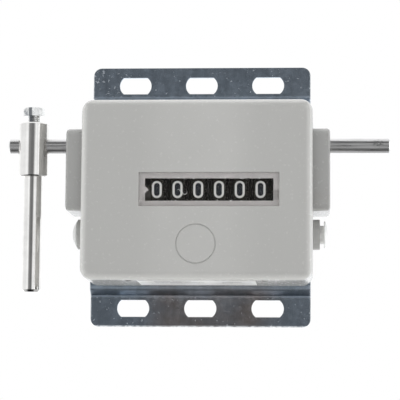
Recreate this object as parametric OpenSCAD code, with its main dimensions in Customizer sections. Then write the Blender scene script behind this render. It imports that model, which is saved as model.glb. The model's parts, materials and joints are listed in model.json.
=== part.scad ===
// Mechanical stroke counter with six number wheels, a lever on a through
// shaft and a push-button reset, on a cranked steel mounting bracket.
// X runs to the right, Y to the back and Z up. The origin is the centre of
// the fixing slots, on the plane that the bracket is mounted against.

/* [Cover] */
// Width of the cover at its front edge
cover_w = 93.2; // [91:0.1:98]
// Height of the cover at its front edge
cover_h = 73; // [66:0.5:80]
// Depth of the cover, from its front face back to the bracket
cover_depth = 31; // [31:0.5:36]
// Wall thickness of the cover
cover_wall = 2.2; // [1.8:0.1:2.4]
// Radius of the cover's four corners, seen from the front
cover_corner = 4.8; // [3.8:0.1:7]
// Radius of the edge round the front face
cover_edge = 3.3; // [2:0.1:3.5]
// Draft of the cover's walls in degrees, wider towards the bracket
cover_draft = 0.5; // [0:0.25:2]
// Distance of the cover's centre below the centre of the fixing slots
cover_drop = 1; // [0:0.05:3]

/* [Side bosses] */
// How far each boss stands out from the cover's side
boss_out = 7; // [5:0.5:9]
// Height of each boss
boss_h = 33.6; // [31:0.2:36]
// Height of a boss's top above the cover's centre
boss_top = 25.6; // [25.2:0.1:28.6]
// Depth of a boss, from the bracket forwards
boss_depth = 24; // [18:0.5:26]
// Radius of a boss's long edges
boss_edge = 2.8; // [1.5:0.1:4]
// Radius of the edge round a boss's end
boss_end_edge = 1.2; // [0.3:0.1:1.5]
// Wall thickness of a boss
boss_wall = 2; // [1.5:0.1:2.4]

/* [Window] */
// Width of the window recess
window_w = 56.3; // [54:0.1:60]
// Height of the window recess
window_h = 13.7; // [12:0.1:16]
// Distance of the window's centre to the right of the cover's centre
window_x = 5.15; // [4:0.05:6]
// Height of the window's centre above the cover's centre
window_rise = -0.3; // [-0.35:0.05:0.65]
// Depth of the recess, from the front face to the mask
recess_depth = 1.5; // [1.2:0.1:1.7]
// Width of the opening in the mask
opening_w = 51.5; // [48:0.1:53]
// Height of the opening in the mask
opening_h = 9.1; // [7.5:0.1:10]
// Thickness of the mask
mask_t = 1; // [0.8:0.1:1.2]
// How far the mask reaches behind the edge of the recess
mask_lap = 2; // [1:0.1:3]
// Thickness of the clear pane
pane_t = 0.8; // [0.5:0.1:1]
// Length of the pointer on the mask's left edge
pointer_l = 1.5; // [1:0.1:2]
// Height of the pointer at its root
pointer_h = 2.9; // [2:0.1:4]

/* [Front and underside] */
// Diameter of the plain ring groove below the window
ring_d = 16.1; // [12:0.1:20]
// Distance of the ring's centre below the cover's centre
ring_drop = 22.2; // [20.4:0.05:23.4]
// Width of the ring groove
ring_groove = 0.45; // [0.3:0.05:0.8]
// Depth of the ring groove
ring_depth = 0.3; // [0.1:0.05:0.5]
// Width of the label under the cover
label_w = 47.5; // [30:0.1:50]
// Depth of the label, front to back
label_l = 21; // [12:0.5:22]
// Thickness of the label
label_t = 0.2; // [0.1:0.05:0.3]
// Distance of each catch slot from the cover's middle
catch_x = 27.5; // [26.5:0.1:30]
// Width of a catch slot
catch_w = 2.2; // [1.8:0.1:3]
// Length of a catch slot, front to back
catch_l = 5; // [4:0.1:6]

/* [Bracket] */
// Width of the bracket
bracket_w = 91.6; // [88:0.2:100]
// Height of the bracket over both flanges
bracket_h = 109.3; // [104:0.1:120]
// Thickness of the sheet
sheet_t = 1.5; // [1:0.1:2]
// How far the middle of the bracket is cranked forwards
crank_h = 3.5; // [3:0.1:4.5]
// Distance of each crank's middle from the centre of the fixing slots
bend_line = 40; // [39.8:0.1:40.8]
// Inside radius of the bends
bend_r = 0.5; // [0.3:0.1:0.7]
// Angle of each bend in degrees
bend_angle = 55; // [45:1:70]
// Radius of the bracket's corners
bracket_corner = 3.5; // [1:0.1:5]
// Distance between the upper and the lower row of slots
slot_rows = 94; // [92:0.1:97]
// Distance between neighbouring slots in a row
slot_pitch = 28; // [24:0.5:32]
// Length of a slot
slot_l = 13.4; // [11:0.1:16]
// Height of a slot
slot_h = 7; // [5:0.1:7.2]
// Radius of a slot's ends
slot_end_r = 4.45; // [4:0.05:5.5]

/* [Frame] */
// Distance between the two side plates
frame_gap = 70; // [69.6:0.1:72]
// Thickness of a side plate
frame_t = 1.5; // [1:0.1:2]
// Diameter of the rivets that hold the side plates
rivet_d = 3; // [2:0.1:3.5]
// Diameter of the stay between the plates
stay_d = 4; // [3:0.1:4.5]

/* [Drive shaft] */
// Diameter of the shaft
shaft_d = 6; // [5:0.1:6.5]
// Length of the shaft
shaft_l = 157.8; // [140:0.1:180]
// Distance of the shaft's middle to the right of the cover's centre
shaft_shift = -0.46; // [-2:0.01:2]
// Height of the step where the shaft grows thicker between the bosses
shaft_step = 0.2; // [0.05:0.05:0.5]
// Height of the shaft's axis above the cover's centre
shaft_rise = 20.6; // [20.45:0.05:21.25]
// Distance of the shaft's axis in front of the bracket
shaft_front = 7; // [6.5:0.1:7.5]
// Wall of the bushes that the shaft turns in
bush_wall = 1.5; // [1:0.1:1.8]
// Length of the feed arm, from the shaft's axis to the pawl's pin
arm_l = 9; // [8.6:0.1:9.2]

/* [Lever] */
// Distance of the lever's axis from the shaft's left end
lever_inset = 10.05; // [8:0.05:12]
// Diameter of the lever's thick part
lever_hub_d = 12.8; // [10.5:0.1:14]
// Length of the lever's thick part
lever_hub_l = 22.5; // [20:0.1:30]
// Height of the lever's top above the shaft's axis
lever_top = 9.5; // [8:0.1:12]
// Diameter of the lever's rod
lever_rod_d = 8; // [6:0.1:9]
// Reach of the lever below the shaft's axis
lever_reach = 60.75; // [40:0.25:90]
// Diameter of the clamping screw
screw_d = 5; // [4:0.1:5.5]
// Width of the screw's head across its flats
screw_flats = 8; // [7:0.1:9]
// Height of the screw's head
screw_head_h = 3.5; // [3:0.1:4.5]
// Length of thread that shows above the lever
screw_show = 3; // [1:0.1:4]

/* [Number wheels] */
// Diameter of the number wheels
wheel_d = 26; // [25:0.1:26.6]
// Distance between neighbouring number wheels
wheel_pitch = 8.33; // [8.3:0.01:8.5]
// Width of a wheel's rim
rim_w = 5.15; // [4.5:0.05:5.2]
// Place of the units wheel to the right of the cover's centre
units_x = 25.7; // [25.4:0.05:26.2]
// Height of the wheels' axle above the cover's centre
wheel_rise = 0; // [-0.15:0.05:0.45]
// Diameter of the wheels' axle
axle_d = 3; // [2:0.1:3.4]

/* [Transfer pinions] */
// Module of the pinions' teeth
tooth_module = 1; // [0.97:0.01:1.02]
// Diameter of the pinions' axle
pinion_axle_d = 2; // [1.5:0.1:2.4]
// Direction of the pinions from the wheels' axle, in degrees
pinion_angle = -45; // [-47:1:-43]

/* [Reset] */
// Diameter of the button's head
button_d = 11; // [10:0.1:12]
// Height of the button's dome
button_dome = 1.9; // [1.5:0.1:3]
// Diameter of the button's stem
stem_d = 7.4; // [6.5:0.1:8]
// Gap between the button's head and its collar
button_gap = 1.7; // [1.6:0.1:3]
// Diameter of the collars on the cover's sides
collar_d = 12.4; // [11.5:0.1:13]
// How far the collars stand out from the cover's sides
collar_out = 2.9; // [2:0.1:5]
// Distance of the button's axis below the cover's centre
reset_drop = 16.65; // [16.55:0.1:17.35]
// Distance of the button's axis behind the wheels' axle
reset_back = 3.3; // [3:0.1:3.8]

/* [Fits] */
// Radial clearance of what turns or slides
running = 0.05; // [0.03:0.01:0.08]
// Radial clearance of what is pressed, riveted or screwed in
seated = 0.02; // [0.01:0.01:0.03]
// Clearance between neighbouring pieces
gap = 0.3; // [0.25:0.01:0.35]

/* [Hidden] */

$fn = 64;
hull_fn = 32;
// Overshoot of a cut past the face that it starts from
past = 1;

// Planes that the pieces are stacked on, from the wall forwards
crown_back_y = -crank_h;
crown_y = crown_back_y - sheet_t;
front_y = crown_y - cover_depth;
mask_y = front_y + recess_depth;
cover_z = -cover_drop;
side_x = cover_w / 2;
boss_x = side_x + boss_out;

// Number wheels
wheel_r = wheel_d / 2;
wheel_y = mask_y + mask_t + 1 + wheel_r;
wheel_z = cover_z + wheel_rise;
hub_r = 3;
gear_w = 1;
carry_w = 0.7;
cam_w = 0.8;
// The wheel's side, the gear, a gap and the cam follow each other
cam_x = rim_w / 2 + gear_w + 0.25;
hub_end = cam_x + cam_w + 0.2;
ratchet_w = 2;
ratchet_r = 9;
ratchet_teeth = 10;
cam_min_r = 3.6;
cam_max_r = 6.5;

// Transfer gears
gear_teeth = 20;
pinion_teeth = 8;
mesh = tooth_module * (gear_teeth + pinion_teeth) / 2;
gear_tip = tooth_module * gear_teeth / 2 + 0.7;
gear_root = tooth_module * gear_teeth / 2 - 1.2;
pinion_tip = tooth_module * pinion_teeth / 2 + 0.6;
pinion_root = tooth_module * pinion_teeth / 2 - 1.1;
pinion_y = wheel_y + mesh * cos(pinion_angle);
pinion_z = wheel_z + mesh * sin(pinion_angle);
// The carry disc stays clear of the pinion's teeth at every angle
carry_r = mesh - pinion_tip - 0.8;
carry_tooth_r = mesh - pinion_tip - 0.4;

// Drive shaft and its bushes
shaft_r = shaft_d / 2;
journal_r = shaft_r + shaft_step;
journal_x = boss_x + gap;
shaft_y = crown_y - shaft_front;
shaft_z = cover_z + shaft_rise;
bush_r = journal_r + bush_wall;
flange_t = 1.5;
flange_out = 1.5;
ring_t = 0.8;
ring_out = 1.5;
ring_sunk = 0.5;
// Air at the sides of a ring or an arm that turns beside a fixed piece
side_air = 0.2;
lever_x = shaft_shift - shaft_l / 2 + lever_inset;

// Side plates
plate_x = frame_gap / 2;
plate_out = plate_x + frame_t;
plate_inset = 5;
plate_edge = 2.9;
plate_lift = 4;
plate_corner = 2;
plate_front = front_y + plate_inset;
plate_top = shaft_z + bush_r + plate_edge;
plate_bottom = cover_z - cover_h / 2 + plate_lift;
foot_l = 7;
foot_h = 11;
foot_rise = 5.15;
foot_lift = 7;
foot_z = [cover_z + foot_rise, plate_bottom + foot_lift];

// Feed arm and pawl
ring_x = plate_x - flange_t - side_air;
ring_root = journal_r - ring_sunk;
arm_t = 1.3;
arm_x = ring_x - ring_t - side_air;
hub_wall = 2.5;
arm_hub_r = journal_r + hub_wall;
arm_hub_l = 7.8;
pawl_pin_r = 0.9;
pawl_w = 1.4;
pawl_x = units_x + rim_w / 2 + gap;
axis_gap = norm([shaft_y - wheel_y, shaft_z - wheel_z]);
// The pawl's nose turns about the shaft just outside the ratchet
pawl_reach = axis_gap - ratchet_r - gap;

// Reset
reset_y = wheel_y + reset_back;
reset_z = cover_z - reset_drop;
stem_r = stem_d / 2;
collar_x = side_x + collar_out;
button_x = collar_x + button_gap;
rod_r = 1.5;
guide_r = 2.6;
crank_x = units_x + rim_w / 2 + ratchet_w + gear_w + cam_w + 0.2;
crank_t = 1.2;
cone_x = crank_x + crank_t + gap;
cone_l = 1.4;
spring_room = 5;
stem_x = plate_out + spring_room;
comb_r = 1.2;
comb_wall = 1;
comb_front = 10.8;
comb_up = 1.3;
comb_y = reset_y - comb_front;
comb_z = reset_z + comb_up;
finger_r = 8.1;
comb_gap = norm([wheel_y - comb_y, wheel_z - comb_z]);
finger_l = sqrt(comb_gap * comb_gap - finger_r * finger_r) - gap;
finger_angle = atan2(wheel_z - comb_z, wheel_y - comb_y) - asin(finger_r / comb_gap);
finger_w = 0.7;
// The cam's notch faces the finger when the wheel shows zero
cam_zero = finger_angle - 90;

// Stay, in the upper front corners of the side plates
stay_r = stay_d / 2;
stay_in = 4;
stay_y = plate_front + stay_in;
stay_z = plate_top - stay_in;
spigot_r = 1.2;

// Return spring and its collar, whose peg runs just in front of the bracket
spring_wire = 0.5;
spring_air = 1.2;
spring_r = journal_r + spring_air;
spring_turns = 4;
leg_l = 3;
collar_l = 4;
collar_back = 8.5;
collar_x0 = -ring_x + ring_t + collar_back;
lug_r = 1.1;
peg_r = 0.8;
peg_l = 2;
peg_y = crown_y - gap - lug_r;
peg_z = shaft_z - spring_r - side_air;

// Shared shapes

function polar(r, a) = [r * cos(a), r * sin(a)];

function arc(c, r, a0, a1, n) = [for (i = [0:n]) c + polar(r, a0 + (a1 - a0) * i / n)];

// Extrudes a drawing of the YZ plane along X
module along_x(x0, x1) {
  translate([x0, 0, 0]) rotate([90, 0, 90]) linear_extrude(x1 - x0) children();
}

// Extrudes a drawing of the XZ plane along Y
module along_y(y0, y1) {
  translate([0, y1, 0]) rotate([90, 0, 0]) linear_extrude(y1 - y0) children();
}

module rod_x(x0, x1, r, y, z) {
  translate([x0, y, z]) rotate([0, 90, 0]) cylinder(h = x1 - x0, r = r);
}

module rod_y(y0, y1, r, x, z) {
  translate([x, y0, z]) rotate([-90, 0, 0]) cylinder(h = y1 - y0, r = r);
}

module rounded_rect(w, h, r) {
  square([w - 2 * r, h], center = true);
  square([w, h - 2 * r], center = true);
  for (sx = [-1, 1], sy = [-1, 1])
    translate([sx * (w / 2 - r), sy * (h / 2 - r)]) circle(r = r);
}

// Revolves a profile of [radius, height] points about an axis along X
module turned_x(x, y, z) {
  translate([x, y, z]) rotate([0, 90, 0]) rotate_extrude() children();
}

// Straight-sided teeth round a disc
module toothed(n, root, tip, w_root, w_tip, phase) {
  a = asin(w_root / 2 / root);
  b = asin(w_tip / 2 / tip);
  polygon([for (k = [0:n - 1], p = [[root, -a], [tip, -b], [tip, b], [root, a]])
    polar(p[0], phase + 360 * k / n + p[1])]);
}

// Round wire along a path that stays nearly square to X
module wire(path, r, sides) {
  n = len(path);
  tangents = [for (i = [0:n - 1])
    path[min(i + 1, n - 1)] - path[max(i - 1, 0)]];
  rings = [for (i = [0:n - 1])
    let (t = tangents[i] / norm(tangents[i]),
         c = cross(t, [1, 0, 0]),
         u = c / norm(c),
         v = cross(t, u))
    for (k = [0:sides - 1])
      path[i] + r * (cos(360 * k / sides) * u + sin(360 * k / sides) * v)];
  sides_faces = [for (i = [0:n - 2], k = [0:sides - 1])
    let (m = (k + 1) % sides)
    [i * sides + k, i * sides + m, (i + 1) * sides + m, (i + 1) * sides + k]];
  ends = [[for (k = [sides - 1:-1:0]) k], [for (k = [0:sides - 1]) (n - 1) * sides + k]];
  polyhedron(points = rings, faces = concat(sides_faces, ends), convexity = 6);
}

// Points of a coil about an axis along X
function coil(x0, x1, r, y, z, a0, a1, steps) = [for (i = [0:steps])
  let (a = a0 + (a1 - a0) * i / steps)
  [x0 + (x1 - x0) * i / steps, y + r * cos(a), z + r * sin(a)]];

// Bracket

// Upper half of the bracket's bent section, as [height, Y] points
function crank_half() =
  let (mid_r = bend_r + sheet_t / 2,
       out_r = bend_r + sheet_t,
       slope_h = crank_h - 2 * mid_r * (1 - cos(bend_angle)),
       span = 2 * mid_r * sin(bend_angle) + slope_h / tan(bend_angle),
       c1 = [bend_line - span / 2, crown_back_y + bend_r],
       c2 = [bend_line + span / 2, -sheet_t - bend_r])
  concat(arc(c1, out_r, -90, -90 + bend_angle, 6),
    arc(c2, bend_r, 90 + bend_angle, 90, 4),
    [[bracket_h / 2, -sheet_t], [bracket_h / 2, 0]],
    arc(c2, out_r, 90, 90 + bend_angle, 6),
    arc(c1, bend_r, -90 + bend_angle, -90, 4));

module slot_shape() {
  reach = slot_l / 2 - slot_end_r;
  intersection() {
    union() {
      for (s = [-1, 1]) translate([s * reach, 0]) circle(r = slot_end_r);
      square([2 * reach, 2 * slot_end_r], center = true);
    }
    square([slot_l + 1, slot_h], center = true);
  }
}

module mounting_bracket() {
  half = crank_half();
  upper = [for (p = half) [p[1], p[0]]];
  lower = [for (i = [len(half) - 1:-1:0]) [half[i][1], -half[i][0]]];
  color([0.72, 0.74, 0.78])
  difference() {
    intersection() {
      along_x(-bracket_w / 2, bracket_w / 2) polygon(concat(upper, lower));
      along_y(crown_y - past, past) rounded_rect(bracket_w, bracket_h, bracket_corner);
    }
    for (s = [-1, 1], k = [-1:1])
      translate([k * slot_pitch, 0, s * slot_rows / 2])
        along_y(-sheet_t - past, past) slot_shape();
    for (p = rivet_places)
      rod_y(crown_y - past, crown_back_y + past, rivet_d / 2 + seated, p[0], p[1]);
  }
}

// Cover

draft_out = (cover_depth - cover_edge) * tan(cover_draft);

// Closed hood shape: rounded front edge, straight walls with draft
module hood(w, h, corner, edge, y0, y1) {
  hull()
    for (sx = [-1, 1], sz = [-1, 1]) {
      translate([sx * (w / 2 - corner), y0, sz * (h / 2 - corner)])
        rotate([-90, 0, 0]) rotate_extrude($fn = hull_fn)
          polygon(concat([[0, edge], [0, 0]],
            arc([corner - edge, edge], edge, -90, 0, 6)));
      translate([sx * (w / 2 - corner + draft_out), y1, sz * (h / 2 - corner + draft_out)])
        rotate([90, 0, 0]) cylinder(h = 0.1, r = corner, $fn = hull_fn);
    }
}

boss_mid_z = cover_z + boss_top - boss_h / 2;

// Section of a boss in the YZ plane, from its back at y1 forwards
module boss_section(inset, y1 = crown_y) {
  y0 = crown_y - boss_depth + inset;
  top = boss_h / 2 - inset;
  r = boss_edge - min(inset, boss_edge - 0.5);
  translate([0, boss_mid_z])
    polygon(concat([[y1, -top]],
      arc([y0 + r, r - top], r, -90, -180, 6),
      arc([y0 + r, top - r], r, 180, 90, 6),
      [[y1, top]]));
}

module boss() {
  hull() {
    along_x(side_x - cover_wall, boss_x - boss_end_edge) boss_section(0);
    along_x(boss_x - 0.3 * boss_end_edge, boss_x - 0.29 * boss_end_edge)
      boss_section(0.29 * boss_end_edge);
    along_x(boss_x - 0.1, boss_x) boss_section(boss_end_edge);
  }
}

module collar() {
  rod_x(side_x - cover_wall, collar_x, collar_d / 2, reset_y, reset_z);
}

module front_cover() {
  inner_w = cover_w - 2 * cover_wall;
  inner_h = cover_h - 2 * cover_wall;
  inner_corner = cover_corner - cover_wall;
  color([0.70, 0.70, 0.67])
  difference() {
    union() {
      translate([0, 0, cover_z])
        hood(cover_w, cover_h, cover_corner, cover_edge, front_y, crown_y);
      for (side = [0, 1]) mirror([side, 0, 0]) {
        boss();
        collar();
      }
    }
    translate([0, 0, cover_z])
      hood(inner_w, inner_h, inner_corner, inner_corner / 2,
        front_y + cover_wall, crown_y + past);
    for (side = [0, 1]) mirror([side, 0, 0]) {
      // Room inside the boss, and the way out for the shaft
      along_x(side_x - cover_wall - past, boss_x - boss_wall)
        boss_section(boss_wall, crown_y - boss_wall);
      rod_x(side_x - cover_wall - past, boss_x + past, journal_r + gap, shaft_y, shaft_z);
      rod_x(side_x - cover_wall - past, collar_x + past, stem_r + running,
        reset_y, reset_z);
    }
    // Window, with a rebate behind it for the mask
    translate([window_x, 0, cover_z + window_rise]) {
      along_y(front_y - past, mask_y + past) square([window_w, window_h], center = true);
      along_y(mask_y, front_y + cover_wall + past)
        square([mask_w + gap, mask_h + gap], center = true);
    }
    // Plain ring groove
    translate([0, front_y - past, cover_z - ring_drop]) rotate([-90, 0, 0])
      difference() {
        cylinder(h = past + ring_depth, r = ring_d / 2);
        cylinder(h = past + ring_depth, r = ring_d / 2 - ring_groove);
      }
    // Catch slots in the underside
    for (s = [-1, 1])
      translate([s * catch_x - catch_w / 2, catch_y - catch_l / 2,
          cover_z - cover_h / 2 - past])
        cube([catch_w, catch_l, cover_wall + 2 * past]);
  }
}

mask_w = window_w + 2 * mask_lap;
mask_h = window_h + 2 * mask_lap;
catch_back = 7;
catch_y = front_y + catch_back;

module window_mask() {
  color([0.62, 0.59, 0.57])
  translate([window_x, 0, cover_z + window_rise])
  along_y(mask_y, mask_y + mask_t)
    difference() {
      square([mask_w, mask_h], center = true);
      difference() {
        square([opening_w, opening_h], center = true);
        translate([-opening_w / 2, 0])
          polygon([[-1, -pointer_h / 2], [0, -pointer_h / 2], [pointer_l, 0],
            [0, pointer_h / 2], [-1, pointer_h / 2]]);
      }
    }
}

module window_pane() {
  color([0.85, 0.9, 0.92, 0.35])
  translate([window_x, 0, cover_z + window_rise])
    along_y(mask_y - pane_t, mask_y) square([window_w - gap, window_h - gap], center = true);
}

module type_label() {
  color([0.93, 0.93, 0.9])
  translate([0, front_y + cover_edge, cover_z - cover_h / 2]) rotate([-cover_draft, 0, 0])
    translate([-label_w / 2, 0.5, -label_t - seated]) cube([label_w, label_l, label_t]);
}

// Frame

rivet_x = plate_out + foot_l / 2;
rivet_places = [for (s = [-1, 1], z = foot_z) [s * rivet_x, z]];

module side_plate() {
  h = plate_top - plate_bottom;
  along_x(plate_x, plate_out)
    translate([(plate_front + crown_y) / 2, (plate_top + plate_bottom) / 2])
      rounded_rect(crown_y - plate_front, h, plate_corner);
  for (z = foot_z)
    translate([plate_x, crown_y - frame_t, z - foot_h / 2])
      cube([frame_t + foot_l, frame_t, foot_h]);
}

// Holes that both plates share
module plate_holes() {
  x0 = plate_x - past;
  x1 = plate_out + past;
  rod_x(x0, x1, bush_r + seated, shaft_y, shaft_z);
  rod_x(x0, x1, axle_d / 2 + seated, wheel_y, wheel_z);
  rod_x(x0, x1, pinion_axle_d / 2 + seated, pinion_y, pinion_z);
  rod_x(x0, x1, comb_r + running, comb_y, comb_z);
  rod_x(x0, x1, spigot_r + seated, stay_y, stay_z);
  rod_x(x0, x1, spigot_r + seated, catch_y, catch_bar_z);
  for (z = foot_z)
    rod_y(crown_y - frame_t - past, crown_y + past, rivet_d / 2 + seated, rivet_x, z);
}

module left_side_plate() {
  color([0.66, 0.67, 0.69])
  mirror([1, 0, 0]) difference() {
    side_plate();
    plate_holes();
  }
}

module right_side_plate() {
  color([0.66, 0.67, 0.69])
  difference() {
    side_plate();
    plate_holes();
    rod_x(plate_x - past, plate_out + past, guide_r + running, reset_y, reset_z);
  }
}

module frame_rivets() {
  head_r = rivet_d * 0.85;
  head_h = 1;
  color([0.6, 0.61, 0.63])
  for (p = rivet_places) {
    rod_y(crown_y - frame_t, crown_back_y, rivet_d / 2, p[0], p[1]);
    rod_y(crown_y - frame_t - head_h, crown_y - frame_t, head_r, p[0], p[1]);
    rod_y(crown_back_y, crown_back_y + head_h, head_r, p[0], p[1]);
  }
}

module frame_stay() {
  color([0.6, 0.61, 0.63]) {
    rod_x(-plate_x, plate_x, stay_r, stay_y, stay_z);
    rod_x(-plate_out, plate_out, spigot_r, stay_y, stay_z);
  }
}

catch_bar_h = 3;
catch_bar_lift = 2;
catch_bar_z = plate_bottom + catch_bar_lift;
tongue_up = 0.5;

// Bar across the frame's foot, with two tongues that hold the cover
module catch_bar() {
  tongue_w = catch_w - 2 * gap;
  tongue_l = catch_l - 2 * gap;
  tongue_z = cover_z - cover_h / 2 + tongue_up;
  color([0.6, 0.61, 0.63]) {
    translate([-plate_x, catch_y - catch_bar_h / 2, catch_bar_z - catch_bar_h / 2])
      cube([2 * plate_x, catch_bar_h, catch_bar_h]);
    rod_x(-plate_out, plate_out, spigot_r, catch_y, catch_bar_z);
    for (s = [-1, 1])
      translate([s * catch_x - tongue_w / 2, catch_y - tongue_l / 2, tongue_z])
        cube([tongue_w, tongue_l, catch_bar_z - tongue_z]);
  }
}

// Drive shaft

module shaft_bush() {
  difference() {
    union() {
      rod_x(plate_x - flange_t, plate_x, bush_r + flange_out, shaft_y, shaft_z);
      rod_x(plate_x - flange_t, side_x - cover_wall - gap, bush_r, shaft_y, shaft_z);
    }
    rod_x(plate_x - flange_t - past, side_x, journal_r + running, shaft_y, shaft_z);
  }
}

module left_shaft_bush() {
  color([0.72, 0.58, 0.32]) mirror([1, 0, 0]) shaft_bush();
}

module right_shaft_bush() {
  color([0.72, 0.58, 0.32]) shaft_bush();
}

module shaft_groove(x0, x1) {
  turned_x(x0, shaft_y, shaft_z)
    translate([ring_root, 0]) square([shaft_r, x1 - x0]);
}

// The ends have the plain diameter, and a low step outside each boss
module drive_shaft() {
  chamfer = 0.5;
  x0 = shaft_shift - shaft_l / 2;
  x1 = shaft_shift + shaft_l / 2;
  color([0.42, 0.42, 0.43])
  difference() {
    turned_x(0, shaft_y, shaft_z)
      polygon([[0, x0], [shaft_r - chamfer, x0], [shaft_r, x0 + chamfer],
        [shaft_r, -journal_x], [journal_r, -journal_x], [journal_r, journal_x],
        [shaft_r, journal_x], [shaft_r, x1 - chamfer], [shaft_r - chamfer, x1], [0, x1]]);
    shaft_groove(ring_x - ring_t, ring_x);
    shaft_groove(-ring_x, -ring_x + ring_t);
    for (x = pin_places)
      rod_y(shaft_y - shaft_d, shaft_y + shaft_d, pin_r + seated, x, shaft_z);
  }
}

// Two open rings in grooves, each just inside its bush
module shaft_rings() {
  color([0.35, 0.35, 0.36])
  for (x = [-ring_x, ring_x - ring_t])
    along_x(x, x + ring_t)
      translate([shaft_y, shaft_z]) difference() {
        circle(r = journal_r + ring_out);
        circle(r = ring_root + seated);
        translate([-ring_root * 0.75, 0]) square([ring_root * 1.5, 2 * shaft_d]);
      }
}

pin_r = 0.9;
arm_pin_in = 2.4;
arm_pin_x = arm_x - arm_hub_l + arm_pin_in;
pin_places = [collar_x0 + collar_l / 2, arm_pin_x];

module hub_pins() {
  color([0.5, 0.5, 0.52])
  for (x = pin_places)
    rod_y(shaft_y - arm_hub_r, shaft_y + arm_hub_r, pin_r, x, shaft_z);
}

// Collar with a lug, whose peg the moving leg of the return spring pushes back
module spring_collar() {
  out = [peg_y - shaft_y, peg_z - shaft_z];
  color([0.55, 0.56, 0.58])
  difference() {
    union() {
      rod_x(collar_x0, collar_x0 + collar_l, arm_hub_r, shaft_y, shaft_z);
      along_x(collar_x0, collar_x0 + collar_l)
        translate([shaft_y, shaft_z]) rotate(atan2(out.y, out.x)) {
          translate([0, -lug_r]) square([norm(out), 2 * lug_r]);
          translate([norm(out), 0]) circle(r = lug_r);
        }
      rod_x(collar_x0 - peg_l, collar_x0 + collar_l / 2, peg_r, peg_y, peg_z);
    }
    rod_x(collar_x0 - past, collar_x0 + collar_l + past, journal_r + seated,
      shaft_y, shaft_z);
    rod_y(shaft_y - 2 * arm_hub_r, shaft_y + 2 * arm_hub_r, pin_r + seated,
      pin_places[0], shaft_z);
  }
}

// Torsion spring: its upper leg leans on the bracket, its lower leg stands in
// front of the collar's peg
module return_spring() {
  x0 = -ring_x + ring_t + spring_air;
  x1 = collar_x0 - peg_l / 2;
  back = shaft_y + spring_r;
  upper_y = crown_y - gap - spring_wire;
  lower_y = peg_y - peg_r - gap - spring_wire;
  color([0.5, 0.5, 0.52])
    wire(concat([[x0, upper_y, shaft_z + spring_r + leg_l], [x0, upper_y, shaft_z + leg_l]],
      coil(x0, x1, spring_r, shaft_y, shaft_z, 0, -360 * spring_turns, 20 * spring_turns),
      [[x1, lower_y, peg_z], [x1, lower_y, peg_z - leg_l]]), spring_wire, 8);
}

// Lever

module lever() {
  hub_r1 = lever_hub_d / 2;
  rod_r1 = lever_rod_d / 2;
  top = shaft_z + lever_top;
  step = top - lever_hub_l;
  tip = shaft_z - lever_reach;
  edge = 0.5;
  tip_edge = 1;
  color([0.8, 0.79, 0.77])
  difference() {
    translate([lever_x, shaft_y, 0]) rotate_extrude()
      polygon([[0, top], [hub_r1 - edge, top], [hub_r1, top - edge],
        [hub_r1, step + edge], [hub_r1 - edge, step], [rod_r1, step],
        [rod_r1, tip + tip_edge], [rod_r1 - tip_edge, tip], [0, tip]]);
    rod_x(lever_x - lever_hub_d, lever_x + lever_hub_d, shaft_r + seated,
      shaft_y, shaft_z);
    translate([lever_x, shaft_y, shaft_z]) cylinder(h = lever_top + past, r = screw_d / 2 + seated);
  }
}

module lever_screw() {
  head_z = shaft_z + lever_top + screw_show;
  corner_r = screw_flats / 2 / cos(30);
  bevel = 0.5;
  turn = 84;
  color([0.78, 0.78, 0.76])
  translate([lever_x, shaft_y, 0]) {
    translate([0, 0, shaft_z + shaft_r]) cylinder(h = head_z - shaft_z - shaft_r, r = screw_d / 2);
    intersection() {
      translate([0, 0, head_z]) rotate([0, 0, turn]) cylinder(h = screw_head_h, r = corner_r, $fn = 6);
      translate([0, 0, head_z]) rotate_extrude()
        polygon([[0, 0], [corner_r, 0], [corner_r, screw_head_h - bevel],
          [screw_flats / 2, screw_head_h], [0, screw_head_h]]);
    }
  }
}

// Feed arm and pawl

module feed_arm() {
  eye_r = 3;
  color([0.6, 0.61, 0.63])
  difference() {
    union() {
      rod_x(arm_x - arm_hub_l, arm_x, arm_hub_r, shaft_y, shaft_z);
      along_x(arm_x - arm_t, arm_x) {
        translate([shaft_y - eye_r, shaft_z - arm_l]) square([2 * eye_r, arm_l]);
        translate([shaft_y, shaft_z - arm_l]) circle(r = eye_r);
      }
    }
    rod_x(arm_x - arm_hub_l - past, arm_x + past, journal_r + seated, shaft_y, shaft_z);
    rod_x(arm_x - arm_t - past, arm_x + past, pawl_pin_r + seated,
      shaft_y, shaft_z - arm_l);
    rod_y(shaft_y - 2 * arm_hub_r, shaft_y + 2 * arm_hub_r, pin_r + seated,
      arm_pin_x, shaft_z);
  }
}

module pawl_pin() {
  color([0.5, 0.5, 0.52])
    rod_x(pawl_x - side_air, arm_x, pawl_pin_r, shaft_y, shaft_z - arm_l);
}

// Nose of the pawl, measured from its pin
nose_y = -5;
nose_z = arm_l - sqrt(pawl_reach * pawl_reach - nose_y * nose_y) + 0.1;

module feed_pawl() {
  color([0.55, 0.54, 0.5])
  along_x(pawl_x, pawl_x + pawl_w)
    translate([shaft_y, shaft_z - arm_l]) difference() {
      union() {
        circle(r = 2);
        polygon([[1, 1.7], [-4, 0.9], [nose_y - 0.6, -1], [nose_y, nose_z],
          [-2.5, -1.7], [0, -2]]);
      }
      circle(r = pawl_pin_r + running);
    }
}

// Leaf from the arm's hub to the back of the pawl's nose
module pawl_spring() {
  t = 0.35;
  root = [shaft_y, shaft_z] + polar(arm_hub_r + seated + t, 195);
  bend = root + [-1.2, -3];
  tip = [shaft_y - 3.6, shaft_z - arm_l + 1 + gap];
  color([0.5, 0.5, 0.52])
  along_x(pawl_x, pawl_x + pawl_w)
    polygon([root, bend, tip, tip + [t, t / 2], bend + [t, 0.1], root + [t, 0]]);
}

post_r = 1.2;
post_back = 3;
post_up = 8.5;

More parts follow.
